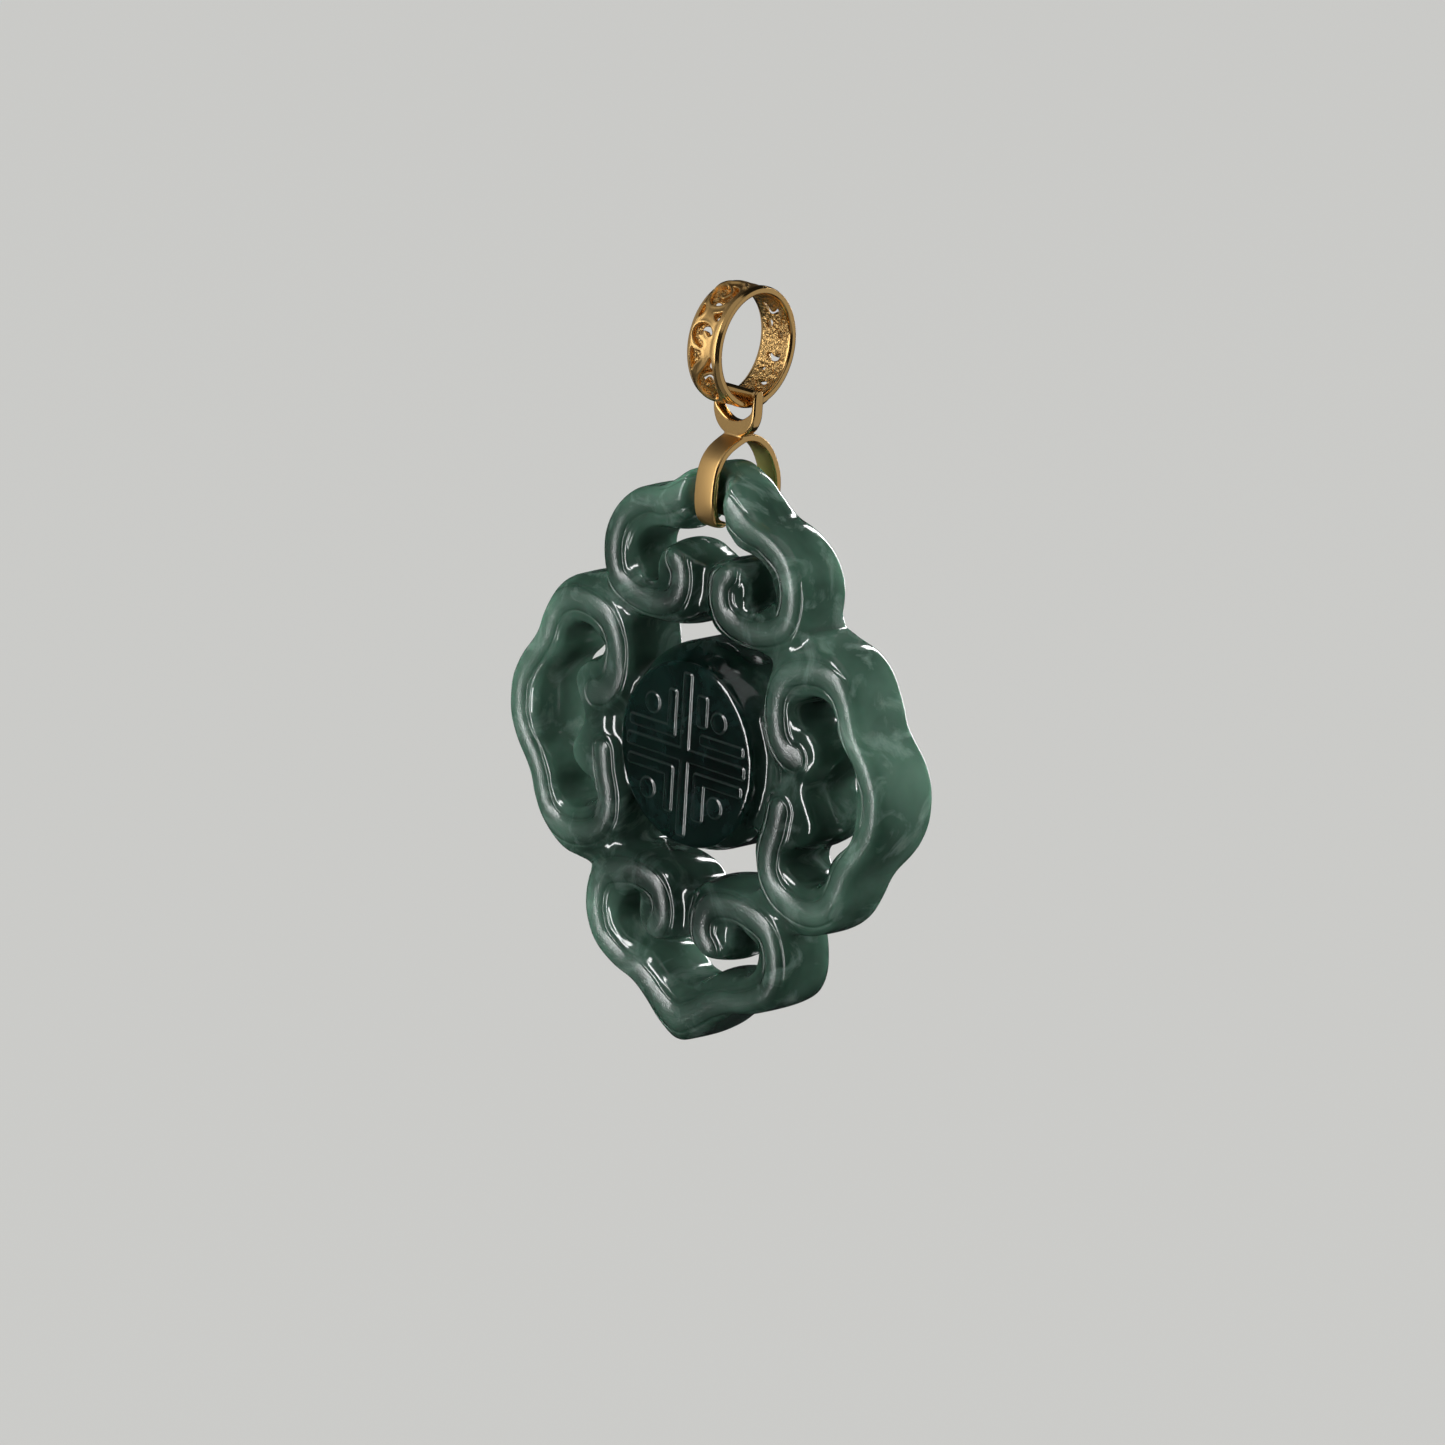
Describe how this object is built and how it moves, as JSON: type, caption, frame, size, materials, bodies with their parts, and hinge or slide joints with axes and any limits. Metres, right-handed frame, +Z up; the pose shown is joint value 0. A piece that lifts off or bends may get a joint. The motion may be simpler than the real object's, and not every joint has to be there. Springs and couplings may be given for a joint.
{
  "type": "jade ruyi pendant",
  "caption": "Carved, pierced jadeite plaque of ruyi heads round an emblem disc, hung by a gold strap clip and loop from a pierced gold ring bail.",
  "frame": {"origin": "the chain's seat: the lowest point of the chain, at the inner top of the ring bail", "axes": "+Z up, as the pendant hangs; front of the stone towards -Y; +X to the right seen from the front"},
  "size_m": [0.0386, 0.009, 0.0554],
  "materials": {
    "jadeite": "polished translucent bluish green jadeite",
    "gold_polished": "18K gold, satin face and polished edges",
    "gold_cast": "18K gold casting, polished outside and rough inside the scrollwork"
  },
  "bodies": {
    "bail": {"ring_bail": "gold_cast"},
    "hanger": {"clip": "gold_polished"},
    "stone": {"jade_plaque": "jadeite"}
  },
  "joints": [
    {"name": "loop_swing", "type": "hinge", "parent": "bail", "child": "hanger", "pos_m": [0, 0, -0.0072], "axis": [1, 0, 0], "range_deg": [-30, 30]},
    {"name": "stone_rock", "type": "hinge", "parent": "hanger", "child": "stone", "pos_m": [0, 0, -0.01422], "axis": [1, 0, 0], "range_deg": [-6, 6]}
  ]
}
